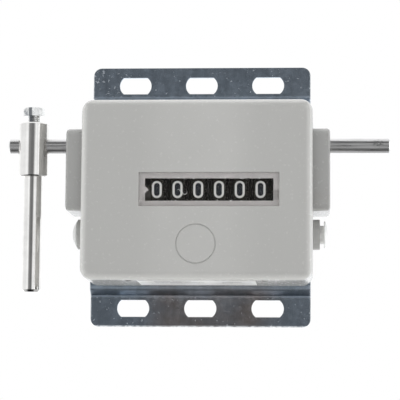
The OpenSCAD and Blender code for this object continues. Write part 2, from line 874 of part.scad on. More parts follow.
// Leaf that holds the units wheel, on a post from the right side plate
module detent_spring() {
  post = [wheel_y + ratchet_r + post_back, wheel_z + post_up];
  nose = [wheel_y + ratchet_r + gap, wheel_z];
  t = 0.5;
  color([0.5, 0.5, 0.52]) {
    rod_x(pawl_x, plate_x, post_r, post[0], post[1]);
    along_x(pawl_x, pawl_x + pawl_w)
      polygon([post, nose + [t, 3], nose, nose + [t, -1], nose + [2 * t, 0],
        nose + [2 * t, 3], post + [2 * t, 0]]);
  }
}

// Number wheels

module ratchet_shape() {
  step = 360 / ratchet_teeth;
  polygon([for (k = [0:ratchet_teeth - 1], p = [[ratchet_r, 0], [ratchet_r - 1.6, 3]])
    polar(p[0], k * step + p[1])]);
}

// Heart shape: the radius grows evenly to both sides of the notch
module cam_shape() {
  polygon([for (a = [-180:12:168])
    polar(cam_min_r + (cam_max_r - cam_min_r) * abs(a) / 180, a + cam_zero)]);
}

module carry_shape() {
  circle(r = carry_r);
  for (s = [-1, 1])
    rotate(pinion_angle + 18 + 9 * s) translate([0, -0.5]) square([carry_tooth_r, 1]);
}

// One number wheel, with what stands on its sides
module number_wheel(x, driven, carries) {
  half = rim_w / 2;
  start = carries ? -half - carry_w : -half - 0.2;
  end = driven ? hub_end : hub_end + ratchet_w - gear_w;
  color([0.11, 0.10, 0.09])
  translate([x, wheel_y, wheel_z]) difference() {
    union() {
      turned_x(-half, 0, 0)
        polygon([[0, 1.9], [wheel_r - 1.6, 1.9], [wheel_r - 1.6, 0], [wheel_r, 0],
          [wheel_r, rim_w], [wheel_r - 1.6, rim_w], [wheel_r - 1.6, rim_w - 1.9],
          [0, rim_w - 1.9]]);
      rod_x(start, end, hub_r, 0, 0);
      along_x(half - 1.9, half + gear_w)
        if (driven)
          toothed(gear_teeth, gear_root, gear_tip, 1.4, 0.7,
            pinion_angle + 180 / gear_teeth);
      if (!driven) along_x(half - 1.9, half + ratchet_w) ratchet_shape();
      if (carries) along_x(-half - carry_w, -half + 1.9) carry_shape();
      along_x(end - 0.2 - cam_w, end - 0.2) cam_shape();
    }
    rod_x(-wheel_pitch, wheel_pitch, axle_d / 2 + running, 0, 0);
  }
}

function wheel_x(k) = units_x - k * wheel_pitch;

module units_wheel() { number_wheel(wheel_x(0), false, true); }
module tens_wheel() { number_wheel(wheel_x(1), true, true); }
module hundreds_wheel() { number_wheel(wheel_x(2), true, true); }
module thousands_wheel() { number_wheel(wheel_x(3), true, true); }
module ten_thousands_wheel() { number_wheel(wheel_x(4), true, true); }
module hundred_thousands_wheel() { number_wheel(wheel_x(5), true, false); }

module wheel_axle() {
  color([0.6, 0.61, 0.63])
    rod_x(-plate_out - 1.2, plate_out + 1.2, axle_d / 2, wheel_y, wheel_z);
}

module pinion_axle() {
  color([0.6, 0.61, 0.63])
    rod_x(-plate_out - 1.2, plate_out + 1.2, pinion_axle_d / 2, pinion_y, pinion_z);
}

module spacer(x0, x1) {
  color([0.8, 0.78, 0.7])
  difference() {
    rod_x(x0, x1, hub_r, wheel_y, wheel_z);
    rod_x(x0 - past, x1 + past, axle_d / 2 + running, wheel_y, wheel_z);
  }
}

module long_spacer() {
  spacer(-plate_x, wheel_x(5) - rim_w / 2 - 0.4);
}

module short_spacer() {
  spacer(units_x + hub_end + ratchet_w - gear_w + 0.2, plate_x);
}

// Push-on clips at the ends of both axles, outside the side plates
module axle_clips() {
  clip_t = 0.6;
  color([0.35, 0.35, 0.36])
  for (s = [0, 1]) mirror([s, 0, 0])
    for (a = [[axle_d / 2, wheel_y, wheel_z], [pinion_axle_d / 2, pinion_y, pinion_z]])
      difference() {
        rod_x(plate_out, plate_out + clip_t, a[0] + 1.5, a[1], a[2]);
        rod_x(plate_out - past, plate_out + clip_t + past, a[0] + seated, a[1], a[2]);
      }
}

// Transfer pinions, each between its wheel and the next lower one

module transfer_pinion(k) {
  x0 = wheel_x(k) + rim_w / 2 + gap;
  x1 = wheel_x(k - 1) - rim_w / 2 - gap;
  color([0.85, 0.83, 0.76])
  difference() {
    along_x(x0, x1) translate([pinion_y, pinion_z])
      toothed(pinion_teeth, pinion_root, pinion_tip, 1.2, 0.6, pinion_angle + 180);
    rod_x(x0 - past, x1 + past, pinion_axle_d / 2 + running, pinion_y, pinion_z);
  }
}

module tens_pinion() { transfer_pinion(1); }
module hundreds_pinion() { transfer_pinion(2); }
module thousands_pinion() { transfer_pinion(3); }
module ten_thousands_pinion() { transfer_pinion(4); }
module hundred_thousands_pinion() { transfer_pinion(5); }

// Reset

// Domed head of [radius, X] points that ends in the axis
function dome(r, h, x) =
  let (rim = 0.5,
       rise = h - rim,
       big = (r * r + rise * rise) / (2 * rise),
       a = asin(r / big))
  concat([[r, x], [r, x + rim]],
    [for (i = [1:8]) let (b = a * (1 - i / 8)) [big * sin(b), x + h - big * (1 - cos(b))]]);

module reset_button() {
  r = button_d / 2;
  tip_x = cone_x - 2.6;
  color([0.9, 0.9, 0.88])
  turned_x(0, reset_y, reset_z)
    polygon(concat([[0, tip_x], [rod_r, tip_x], [rod_r, cone_x],
      [guide_r, cone_x + cone_l], [guide_r, stem_x], [stem_r, stem_x],
      [stem_r, button_x]], dome(r, button_dome, button_x)));
}

module blanking_plug() {
  color([0.9, 0.9, 0.88])
  mirror([1, 0, 0]) turned_x(0, reset_y, reset_z)
    polygon(concat([[0, side_x - cover_wall - 1], [stem_r, side_x - cover_wall - 1],
      [stem_r, collar_x]], dome(button_d / 2, button_dome + 0.4, collar_x)));
}

module reset_spring() {
  wire_r = 0.3;
  color([0.5, 0.5, 0.52])
    wire(coil(plate_out + wire_r, stem_x - wire_r, guide_r + 0.25 + wire_r,
      reset_y, reset_z, 0, 1620, 72), wire_r, 8);
}

// Pivot rod with one finger for each wheel's cam and a crank for the button
module reset_comb() {
  crank_z = reset_z + rod_r + gap;
  crank_h1 = 2;
  color([0.66, 0.67, 0.69]) {
    rod_x(-plate_out, plate_out, comb_r, comb_y, comb_z);
    for (k = [0:5]) {
      end = k == 0 ? hub_end + ratchet_w - gear_w : hub_end;
      x = wheel_x(k) + end - 0.2 - cam_w / 2;
      along_x(x - finger_w / 2, x + finger_w / 2)
        translate([comb_y, comb_z]) rotate(finger_angle)
          polygon([[0, -2], [0, 0], [finger_l, 0], [finger_l, -1.2]]);
    }
    along_x(crank_x, crank_x + crank_t) {
      translate([comb_y, comb_z]) circle(r = comb_r + comb_wall);
      translate([comb_y, crank_z]) square([reset_y + 1.5 - comb_y, crank_h1]);
    }
  }
}

mounting_bracket();
front_cover();
window_pane();
window_mask();
type_label();
left_side_plate();
right_side_plate();
frame_rivets();
frame_stay();
catch_bar();
left_shaft_bush();
right_shaft_bush();
drive_shaft();
shaft_rings();
lever();
lever_screw();
feed_arm();
spring_collar();
hub_pins();
return_spring();
pawl_pin();
feed_pawl();
pawl_spring();
detent_spring();
wheel_axle();
long_spacer();
short_spacer();
axle_clips();
units_wheel();
tens_wheel();
hundreds_wheel();
thousands_wheel();
ten_thousands_wheel();
hundred_thousands_wheel();
pinion_axle();
tens_pinion();
hundreds_pinion();
thousands_pinion();
ten_thousands_pinion();
hundred_thousands_pinion();
blanking_plug();
reset_button();
reset_spring();
reset_comb();
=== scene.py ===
"""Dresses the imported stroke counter: materials, printed digits, fine pieces,
studio and camera. Lengths are written in millimetres and turned into metres
by MM, because Blender works in metres."""

import json
import math
import random

import bpy
from mathutils import Euler, Matrix, Vector

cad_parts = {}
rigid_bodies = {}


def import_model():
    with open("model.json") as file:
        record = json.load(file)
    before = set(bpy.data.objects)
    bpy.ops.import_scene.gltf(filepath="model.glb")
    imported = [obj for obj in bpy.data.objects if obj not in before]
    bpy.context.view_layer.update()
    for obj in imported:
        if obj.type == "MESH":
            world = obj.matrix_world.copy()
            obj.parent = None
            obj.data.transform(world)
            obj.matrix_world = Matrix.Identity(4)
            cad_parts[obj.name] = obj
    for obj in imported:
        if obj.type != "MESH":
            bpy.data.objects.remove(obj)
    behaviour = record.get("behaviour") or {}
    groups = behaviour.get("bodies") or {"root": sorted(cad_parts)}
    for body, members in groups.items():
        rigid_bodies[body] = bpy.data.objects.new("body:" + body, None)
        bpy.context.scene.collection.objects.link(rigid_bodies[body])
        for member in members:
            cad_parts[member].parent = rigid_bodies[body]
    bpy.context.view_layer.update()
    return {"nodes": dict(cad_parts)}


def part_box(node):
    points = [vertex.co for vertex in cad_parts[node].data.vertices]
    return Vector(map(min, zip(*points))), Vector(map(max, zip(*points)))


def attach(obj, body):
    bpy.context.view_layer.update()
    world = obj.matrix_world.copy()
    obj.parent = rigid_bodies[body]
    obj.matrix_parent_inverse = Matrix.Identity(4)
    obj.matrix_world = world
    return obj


for leftover in list(bpy.data.objects):
    bpy.data.objects.remove(leftover)
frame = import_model()

MM = 0.001


def box_mm(node):
    """Lowest and highest corner of a CAD node in millimetres."""
    low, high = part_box(node)
    return low / MM, high / MM


# Sizes that the dressed pieces share with the CAD model
WHEELS = ("units", "tens", "hundreds", "thousands", "ten_thousands", "hundred_thousands")
WHEEL_LOW, WHEEL_HIGH = box_mm("units_wheel")
WHEEL_R = (WHEEL_HIGH.z - WHEEL_LOW.z) / 2
WHEEL_Y = (WHEEL_HIGH.y + WHEEL_LOW.y) / 2
WHEEL_Z = (WHEEL_HIGH.z + WHEEL_LOW.z) / 2
WHEEL_PITCH = 8.33
# The units wheel's ratchet side stands out further, so its rim is the anchor
WHEEL_FIRST = 25.7
WHEEL_MIDDLES = {name: WHEEL_FIRST - WHEEL_PITCH * k for k, name in enumerate(WHEELS)}
DIGIT_STEP = math.radians(36)
COVER_LOW, COVER_HIGH = box_mm("front_cover")
COVER_SIDE = 46.6
BOSS_FOOT = -8.0
BRACKET_LOW, BRACKET_HIGH = box_mm("mounting_bracket")
BRACKET_MIDDLE_Z = (BRACKET_LOW.z + BRACKET_HIGH.z) / 2
# Distances from the bracket's middle between which its sheet is cranked
CRANK = (37.2, 38.2, 41.8, 42.8)
PANE_LOW, PANE_HIGH = box_mm("window_pane")
MASK_FRONT = box_mm("window_mask")[0].y
OPENING_INSET = 2.6
OPENING_HALF = 4.55
OPENING_TOP = (PANE_LOW.z + PANE_HIGH.z) / 2 + OPENING_HALF
OPENING_FOOT = OPENING_TOP - 2 * OPENING_HALF
LABEL_LOW, LABEL_HIGH = box_mm("type_label")
LABEL_FILM = 0.2
LEVER_LOW, LEVER_HIGH = box_mm("lever")
LEVER_X = (LEVER_LOW.x + LEVER_HIGH.x) / 2
LEVER_Y = (LEVER_LOW.y + LEVER_HIGH.y) / 2
SCREW_TOP = box_mm("lever_screw")[1].z
SCREW_HEAD = 3.5
SHAFT_LOW, SHAFT_HIGH = box_mm("drive_shaft")
DOME_X = box_mm("reset_button")[1].x - 1.8

# Camera, fitted to the photograph
LENS = 157.5
SENSOR_WIDTH = 36.0
CLIP_NEAR, CLIP_FAR = 0.01, 20.0
CAMERA_PLACE = (43.4, -727.7, -90.3)
CAMERA_YAW = 3.453
CAMERA_PITCH = 6.958
CAMERA_ROLL = 0.408


class Graph:
    """Builds a node tree with short calls."""

    def __init__(self, tree):
        self.tree = tree

    def node(self, kind, inputs=None, **settings):
        new = self.tree.nodes.new(kind)
        for key, value in settings.items():
            setattr(new, key, value)
        for key, value in (inputs or {}).items():
            self.feed(new.inputs[key], value)
        return new

    def feed(self, socket, value):
        """Links a socket to another one, or sets it to a plain value."""
        if isinstance(value, bpy.types.NodeSocket):
            self.tree.links.new(value, socket)
        else:
            socket.default_value = value

    def math(self, operation, a, b=0.0):
        return self.node("ShaderNodeMath", {0: a, 1: b}, operation=operation).outputs[0]

    def plus(self, a, b):
        return self.math("ADD", a, b)

    def minus(self, a, b):
        return self.math("SUBTRACT", a, b)

    def times(self, a, b):
        return self.math("MULTIPLY", a, b)

    def size(self, a):
        """The value without its sign."""
        return self.math("ABSOLUTE", a)

    def span(self, value, low, high, out_low=0.0, out_high=1.0, smooth=False):
        """Maps low..high to out_low..out_high and stays there outside."""
        kind = "SMOOTHSTEP" if smooth else "LINEAR"
        return self.node(
            "ShaderNodeMapRange",
            {"Value": value, "From Min": low, "From Max": high,
             "To Min": out_low, "To Max": out_high},
            interpolation_type=kind,
        ).outputs["Result"]

    def band(self, value, low, low_end, high, high_end):
        """1 between low_end and high, 0 outside low and high_end."""
        rise = self.span(value, low, low_end, smooth=True)
        fall = self.span(value, high, high_end, 1.0, 0.0, smooth=True)
        return self.times(rise, fall)

    def mix(self, factor, a, b):
        new = self.node("ShaderNodeMix", data_type="RGBA")
        self.feed(new.inputs[0], factor)
        self.feed(new.inputs[6], a)
        self.feed(new.inputs[7], b)
        return new.outputs[2]

    def axes(self, vector):
        split = self.node("ShaderNodeSeparateXYZ", {"Vector": vector})
        return split.outputs["X"], split.outputs["Y"], split.outputs["Z"]


def rgba(color, factor=1.0):
    return tuple(min(1.0, c * factor) for c in color) + (1.0,)


class Paint(Graph):
    """A Principled material whose patterns are laid out in millimetres."""

    NOISE_ROUGHNESS = 0.55

    def __init__(self, name, color, roughness, metallic=0.0, **sockets):
        self.mat = bpy.data.materials.new(name)
        self.mat.use_nodes = True
        super().__init__(self.mat.node_tree)
        self.bsdf = self.tree.nodes["Principled BSDF"]
        self.color = color
        self.bsdf.inputs["Base Color"].default_value = rgba(color)
        self.bsdf.inputs["Roughness"].default_value = roughness
        self.bsdf.inputs["Metallic"].default_value = metallic
        for key, value in sockets.items():
            self.bsdf.inputs[key.replace("_", " ")].default_value = value
        self.place = self.node("ShaderNodeTexCoord").outputs["Object"]
        self.mat.diffuse_color = rgba(color)

    def at(self, stretch=(1, 1, 1), shift=(0, 0, 0)):
        """Coordinates in millimetres; a large stretch makes that axis long."""
        scale = tuple(1 / MM / s for s in stretch)
        return self.node(
            "ShaderNodeMapping",
            {"Vector": self.place, "Scale": scale, "Location": shift},
        ).outputs["Vector"]

    def noise(self, size, detail=3.0, stretch=(1, 1, 1), shift=(0, 0, 0)):
        return self.node(
            "ShaderNodeTexNoise",
            {"Vector": self.at(stretch, shift), "Scale": 1 / size,
             "Detail": detail, "Roughness": self.NOISE_ROUGHNESS},
        ).outputs["Fac"]

    def cells(self, size):
        """One random value for each cell of a Voronoi pattern."""
        pattern = self.node("ShaderNodeTexVoronoi", {"Vector": self.at(), "Scale": 1 / size})
        return self.axes(pattern.outputs["Color"])[0]

    def dots(self, noise, limit):
        """1 where the noise passes the limit, 0 elsewhere."""
        return self.math("GREATER_THAN", noise, limit)

    def near(self, centre, inner, outer):
        """1 within inner of a point, falling to 0 at outer."""
        gap = self.node(
            "ShaderNodeVectorMath",
            {0: self.at(), 1: centre}, operation="DISTANCE",
        ).outputs["Value"]
        return self.span(gap, inner, outer, 1.0, 0.0, smooth=True)

    def clouds(self, noise, low, high, first, last):
        """The own colour, first to last times as bright for noise from low to high."""
        return self.mix(self.span(noise, low, high), rgba(self.color, first),
                        rgba(self.color, last))

    def over(self, tone, mask, share, color):
        """Lays a share of another colour over a tone where the mask is."""
        return self.mix(self.times(mask, share), tone, rgba(color))

    def tint(self, socket, value):
        self.feed(self.bsdf.inputs[socket], value)

    def roughen(self, low, high, size, detail, stretch=(1, 1, 1)):
        """Lets the roughness wander between low and high."""
        self.tint("Roughness", self.span(self.noise(size, detail, stretch), 0.3, 0.7, low, high))

    def bump(self, height, depth, under=None):
        """Adds relief, with depth in millimetres."""
        new = self.node("ShaderNodeBump", {"Height": height, "Distance": depth * MM})
        if under is not None:
            self.feed(new.inputs["Normal"], under)
        out = new.outputs["Normal"]
        self.tint("Normal", out)
        return out


# Materials

def moulded_grey():
    """Cover: satin grey moulding with a painted highlight on its rounded edges,
    painted shade towards its sides and on the bosses, and one darker brownish patch."""
    p = Paint("cover_grey", (0.430, 0.426, 0.412), 0.3)
    tone = p.clouds(p.noise(38, 2), 0.3, 0.7, 0.97, 1.035)
    specks = p.span(p.noise(0.45, 2), 0.62, 0.78)
    tone = p.over(tone, specks, 0.06, (0.30, 0.29, 0.27))
    x, y, z = p.axes(p.at())
    middle_x = 1.0
    # Painted shade: the colour darkens towards the cover's sides.
    painted_side_shade = p.span(p.size(p.minus(x, middle_x)), 10.0, 27.0, smooth=True)
    tone = p.mix(painted_side_shade, tone, rgba(p.color, 0.925))
    # How far inside the outline the rounding starts and is full, and how far
    # behind the face it is still full and ends
    outer, full = 2.6, 1.0
    full_behind, end_behind = 2.5, 6.0
    side = p.span(p.size(x), COVER_SIDE - outer, COVER_SIDE - full)
    end = p.math("MAXIMUM", p.span(z, COVER_HIGH.z - outer, COVER_HIGH.z - full),
                 p.span(z, COVER_LOW.z + outer, COVER_LOW.z + full))
    front = p.span(y, COVER_LOW.y + end_behind, COVER_LOW.y + full_behind)
    painted_edge_highlight = p.times(p.math("MAXIMUM", side, end), front)
    # Painted highlight: the colour is paler over the rounded edges.
    tone = p.mix(painted_edge_highlight, tone, rgba(p.color, 1.17))
    # Painted shade on the bosses beside the cover.
    outside = p.span(p.size(x), COVER_SIDE - 0.4, COVER_SIDE + 0.4)
    painted_boss_shade = p.times(outside, p.span(z, BOSS_FOOT - 0.6, BOSS_FOOT - 0.1))
    tone = p.over(tone, painted_boss_shade, 0.5, (0.25, 0.25, 0.245))
    # A darker brownish patch on the right boss.
    dark_patch_at = (COVER_HIGH.x - 3.0, COVER_LOW.y + 8, BOSS_FOOT + 3.5)
    dark_patch = p.times(p.near(dark_patch_at, 0.5, 6.5), p.span(p.noise(3.0, 2), 0.25, 0.75))
    p.tint("Base Color", p.over(tone, dark_patch, 0.42, (0.26, 0.235, 0.21)))
    p.roughen(0.20, 0.29, 1.5, 4)
    skin = p.bump(p.noise(0.22, 2), 0.003)
    p.bump(p.noise(9, 1), 0.02, skin)
    return p.mat


def zinc_sheet():
    """Bracket: bright zinc with spangle, pale flecks, a brown stain on the lower
    flange, frost on the right, a duller crank and a painted highlight on its edges."""
    p = Paint("bracket_zinc", (0.385, 0.455, 0.535), 0.22, 1.0)
    x, _, z = p.axes(p.at())
    stained_x, stained_z = (-30, -10, 20, 38), (-34, -42)
    flecked_x, flecked_z = (-20, -44), (30, 44)
    frosted_x = (20, 40, 60, 61)
    flange = p.times(p.band(x, *stained_x), p.span(z, *stained_z, smooth=True))
    cloud = p.span(p.noise(17, 3, (1.6, 1, 1)), 0.30, 0.55, 0.35, 1.0)
    tone = p.mix(p.times(flange, cloud), rgba(p.color), rgba((0.43, 0.385, 0.37)))
    spangle = p.cells(1.5)
    tone = p.over(tone, spangle, 0.14, (0.30, 0.33, 0.38))
    streak = p.span(p.noise(0.5, 3, (40, 1, 1)), 0.52, 0.72)
    tone = p.over(tone, streak, 0.12, (0.78, 0.80, 0.84))
    upper_left = p.times(p.span(x, *flecked_x, smooth=True), p.span(z, *flecked_z))
    limit = p.span(upper_left, 0.0, 1.0, 0.70, 0.625)
    fleck = p.dots(p.noise(1.25, 2, shift=(5, 0, 3)), limit)
    tone = p.over(tone, fleck, 0.4, (0.93, 0.95, 0.98))
    frost = p.times(p.span(p.noise(0.5, 2), 0.52, 0.72), p.band(x, *frosted_x))
    tone = p.over(tone, frost, 0.35, (0.80, 0.83, 0.87))
    mottle = p.span(p.noise(6, 4, (0.7, 1, 2.5), (8, 2, 5)), 0.35, 0.65, -0.12, 0.13)
    mottled = p.node("ShaderNodeHueSaturation", {"Value": p.plus(mottle, 1.0), "Color": tone})
    # Painted highlight: the foot and side edges are paler and less metallic.
    foot = p.span(z, BRACKET_LOW.z + 0.75, BRACKET_LOW.z + 0.3)
    sides = p.span(p.size(x), BRACKET_HIGH.x - 0.5, BRACKET_HIGH.x - 0.15, 0.0, 0.6)
    rim = p.times(p.math("MAXIMUM", foot, sides), p.span(p.noise(1.8, 3), 0.3, 0.6, 0.35, 1.0))
    p.tint("Base Color", p.mix(rim, mottled.outputs[0], rgba((0.80, 0.82, 0.84))))
    p.tint("Metallic", p.minus(1.0, p.times(rim, 0.8)))
    crank = p.band(p.size(p.minus(z, BRACKET_MIDDLE_Z)), *CRANK)
    rough = p.plus(p.span(spangle, 0.0, 1.0, 0.17, 0.27), p.times(crank, 0.22))
    p.tint("Roughness", p.plus(rough, p.times(fleck, 0.25)))
    ripple = p.bump(p.noise(0.7, 3), 0.005)
    p.bump(p.noise(14, 1), 0.05, ripple)
    return p.mat


def turned_nickel():
    """Lever: bright plated turning with fine tool rings and small pits."""
    p = Paint("lever_plated", (0.80, 0.785, 0.76), 0.12, 1.0)
    tone = p.clouds(p.noise(6, 3), 0.35, 0.65, 0.94, 1.04)
    pit = p.dots(p.noise(0.5, 2), 0.72)
    p.tint("Base Color", p.over(tone, pit, 0.45, (0.33, 0.31, 0.29)))
    p.roughen(0.08, 0.17, 1.2, 4, (1, 1, 0.3))
    p.bump(p.noise(0.16, 2, (30, 30, 1)), 0.0015)
    return p.mat


def ground_steel():
    """Shaft: ground bar with streaks along it and dark marks near its right end."""
    p = Paint("shaft_ground", (0.72, 0.71, 0.70), 0.3, 1.0)
    tone = p.clouds(p.noise(0.32, 4, (60, 1, 1)), 0.38, 0.66, 0.72, 1.2)
    marked_at = (SHAFT_HIGH.x - 5, SHAFT_LOW.y, SHAFT_LOW.z + 3.9)
    mark = p.times(p.span(p.noise(0.55, 3, (2.5, 1, 1), (2, 7, 4)), 0.50, 0.56),
                   p.near(marked_at, 1.2, 2.6))
    p.tint("Base Color", p.over(tone, mark, 0.8, (0.16, 0.16, 0.16)))
    p.roughen(0.24, 0.38, 0.8, 3, (12, 1, 1))
    p.bump(p.noise(0.12, 2, (50, 1, 1)), 0.002)
    return p.mat


def screw_zinc():
    """Screw: pale zinc plating with a painted dark reflection in a strip and darker patches on the
    left.
    """
    p = Paint("screw_plated", (0.78, 0.78, 0.765), 0.27, 1.0)
    tone = p.clouds(p.noise(1.3, 3), 0.38, 0.64, 0.8, 1.12)
    x, y, _ = p.axes(p.at())
    # Painted dark reflection in a strip on the head's front, left of its middle.
    strip = p.band(x, LEVER_X - 2.1, LEVER_X - 1.5, LEVER_X - 0.5, LEVER_X - 0.1)
    painted_dark_reflection = p.times(strip, p.span(y, LEVER_Y, LEVER_Y - 1))
    tone = p.over(tone, painted_dark_reflection, 0.9, (0.10, 0.11, 0.12))
    # Darker patches towards the left of the head.
    dark_patches = p.span(p.noise(1.6, 2, shift=(3, 5, 1)), 0.50, 0.62)
    left = p.times(dark_patches, p.span(x, LEVER_X - 1.0, LEVER_X - 2.5))
    p.tint("Base Color", p.over(tone, left, 0.7, (0.22, 0.24, 0.26)))
    p.roughen(0.14, 0.28, 0.6, 3)
    p.bump(p.noise(0.3, 3), 0.004)
    return p.mat


def wheel_black():
    """Number wheels: satin black moulding, brownish, with a bluish middle in
    each digit's field and a little dust."""
    p = Paint("wheel_black", (0.009, 0.0082, 0.0062), 0.5, Specular_IOR_Level=0.18)
    cast = p.span(p.noise(2.4, 3), 0.35, 0.65)
    tone = p.mix(cast, rgba((0.0065, 0.006, 0.0045)), rgba((0.0125, 0.0105, 0.0075)))
    x, y, z = p.axes(p.at())
    # The bluish field is full up to the inner size and ends at the outer one.
    # PINGPONG needs values above zero, so whole fields are added in both ways.
    outer_w, inner_w, outer_h, inner_h = 1.5, 1.1, 2.8, 2.3
    field = p.plus(p.minus(x, WHEEL_FIRST), 100.5 * WHEEL_PITCH)
    across = p.size(p.minus(p.math("PINGPONG", field, WHEEL_PITCH / 2), WHEEL_PITCH / 2))
    angle = p.math("ARCTAN2", p.minus(z, WHEEL_Z), p.minus(y, WHEEL_Y))
    along = p.math("PINGPONG", p.plus(angle, 20 * DIGIT_STEP), DIGIT_STEP / 2)
    inside = p.times(p.span(across, outer_w, inner_w),
                     p.span(along, outer_h / WHEEL_R, inner_h / WHEEL_R))
    tone = p.over(tone, inside, 0.8, (0.010, 0.013, 0.021))
    dust = p.dots(p.noise(0.35, 2), 0.735)
    p.tint("Base Color", p.over(tone, dust, 0.25, (0.35, 0.33, 0.30)))
    p.roughen(0.38, 0.55, 0.9, 3)
    p.bump(p.noise(0.3, 2), 0.004)
    return p.mat


def digit_print():
    """Digits: thin off-white pad print with slight starved spots."""
    p = Paint("digit_print", (0.60, 0.595, 0.575), 0.6)
    thin = p.span(p.noise(0.5, 3), 0.55, 0.75)
    p.tint("Base Color", p.over(rgba(p.color), thin, 0.35, (0.32, 0.31, 0.29)))
    p.roughen(0.5, 0.7, 0.4, 2)
    p.bump(p.noise(0.15, 2), 0.004)
    return p.mat


def mask_moulding():
    """Window mask: slightly pink grey moulding with painted light on the strip below
    the opening, and a little dust."""
    p = Paint("mask_moulding", (0.43, 0.41, 0.403), 0.5)
    tone = p.clouds(p.noise(7, 3), 0.35, 0.65, 0.94, 1.05)
    _, _, z = p.axes(p.at())
    # Painted light: the strip below the opening is paler where light falls on it.
    painted_light_below = p.span(z, OPENING_FOOT + 0.65, OPENING_FOOT + 0.05)
    tone = p.mix(painted_light_below, tone, rgba(p.color, 1.36))
    dust = p.dots(p.noise(0.28, 2, shift=(4, 4, 4)), 0.71)
    p.tint("Base Color", p.over(tone, dust, 0.5, (0.62, 0.60, 0.57)))
    p.roughen(0.42, 0.58, 0.7, 2)
    p.bump(p.noise(0.2, 2), 0.01)
    return p.mat


def clear_pane():
    """Window pane: clear plastic that only hazes a little where it is rubbed."""
    p = Paint("pane_clear", (0.42, 0.40, 0.35), 0.08, IOR=1.49, Alpha=0.016)
    p.tint("Roughness", p.span(p.noise(4, 4, (1, 1, 0.4)), 0.35, 0.7, 0.05, 0.22))
    rubbed = p.span(p.noise(2.2, 3), 0.4, 0.7)
    p.tint("Base Color", p.mix(rubbed, rgba(p.color), rgba((0.55, 0.55, 0.54))))
    p.bump(p.noise(12, 1), 0.01)
    return p.mat


def label_paper():
    """Label: white film, slightly yellowed in clouds."""
    p = Paint("label_film", (0.76, 0.765, 0.77), 0.38)
    cloud = p.span(p.noise(5, 3), 0.4, 0.66)
    p.tint("Base Color", p.mix(cloud, rgba(p.color), rgba((0.68, 0.675, 0.65))))
    p.roughen(0.3, 0.46, 1.0, 2)
    p.bump(p.noise(1.6, 2), 0.006)
    return p.mat


def label_ink():
    """The label's blank fields: dark grey ink, worn in places."""
    p = Paint("label_ink", (0.16, 0.165, 0.18), 0.5)
    wear_and_painted_shade = p.span(p.noise(0.5, 3), 0.5, 0.7)
    p.tint("Base Color", p.over(rgba(p.color), wear_and_painted_shade, 0.6, (0.5, 0.5, 0.5)))
    p.roughen(0.42, 0.6, 0.4, 2)
    p.bump(p.noise(0.3, 2), 0.002)
    return p.mat


def white_moulding(name, color, roughness, glow=0.12, dome=None):
    """Buttons and gears: dense white moulding with soft light inside it. To the
    right of dome, where one is given, the colour is darkened as painted shade."""
    p = Paint(name, color, roughness, Subsurface_Weight=glow, Subsurface_Scale=2 * MM,
              Subsurface_Radius=(1.0, 1.0, 1.0))
    soil = p.span(p.noise(3.2, 4), 0.5, 0.74)
    tone = p.over(rgba(color), soil, 0.16, (0.52, 0.49, 0.43))
    if dome:
        # Painted shade: the dome beyond the given x is darker.
        wear_and_painted_shade = p.span(p.axes(p.at())[0], dome - 0.2, dome + 0.2)
        tone = p.mix(wear_and_painted_shade, tone, rgba(color, 0.85))
    p.tint("Base Color", tone)
    p.roughen(roughness - 0.06, roughness + 0.08, 1.1, 3)
    p.bump(p.noise(0.6, 2), 0.006)
    return p.mat


def plain_steel(name, color, roughness, grain=(1, 1, 1)):
    """Inner steel pieces: rolled or drawn steel with grain and oil film."""
    p = Paint(name, color, roughness, 1.0)
    tone = p.clouds(p.noise(4, 3), 0.4, 0.68, 1.0, 0.72)
    rub = p.span(p.noise(0.4, 3, grain), 0.6, 0.75)
    p.tint("Base Color", p.mix(p.times(rub, 0.35), tone, rgba(color, 1.25)))
    p.roughen(roughness - 0.07, roughness + 0.1, 0.8, 3)
    p.bump(p.noise(0.25, 2, grain), 0.004)
    return p.mat


def sintered_bronze():
    """Shaft bushes: porous bronze."""
    p = Paint("bush_bronze", (0.52, 0.37, 0.17), 0.4, 1.0)
    pore = p.dots(p.noise(0.22, 2), 0.66)
    p.tint("Base Color", p.over(rgba(p.color), pore, 0.7, (0.12, 0.08, 0.04)))
    p.roughen(0.32, 0.52, 0.5, 3)
    p.bump(p.noise(0.22, 2), 0.012)
    return p.mat


def lint_white():
    """Fibre and flakes: dull white."""
    p = Paint("lint_white", (0.80, 0.80, 0.78), 0.8)
    p.tint("Base Color", p.mix(p.noise(0.5, 2), rgba(p.color), rgba((0.62, 0.62, 0.60))))
    p.roughen(0.7, 0.9, 0.3, 2)
    p.bump(p.noise(0.1, 2), 0.004)
    return p.mat


# Meshes

def piece(name, verts, faces, material, body, smooth=False):
    """Adds a mesh with its points in millimetres and lets it ride on a body."""
    mesh = bpy.data.meshes.new(name)
    mesh.from_pydata([Vector(v) * MM for v in verts], [], faces)
    mesh.validate()
    mesh.update()
    if smooth:
        mesh.shade_smooth()
    obj = bpy.data.objects.new(name, mesh)
    bpy.context.scene.collection.objects.link(obj)
    mesh.materials.append(material)
    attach(obj, body)


def arc(cx, cy, r, a0, a1, step=9.0):
    """Points along an arc, with the angles in degrees."""
    n = max(2, round(abs(a1 - a0) / step))
    angles = [math.radians(a0 + (a1 - a0) * i / n) for i in range(n + 1)]
    return [(cx + r * math.cos(a), cy + r * math.sin(a)) for a in angles]


def finely(points, longest, closed=False):
    """Splits long stretches so that a path can follow a curved surface."""
    out = []
    ends = points[1:] + (points[:1] if closed else [])
    for a, b in zip(points, ends):
        n = max(1, math.ceil(math.dist(a, b) / longest))
        out += [(a[0] + (b[0] - a[0]) * i / n, a[1] + (b[1] - a[1]) * i / n) for i in range(n)]
    if not closed:
        out.append(points[-1])
    return out


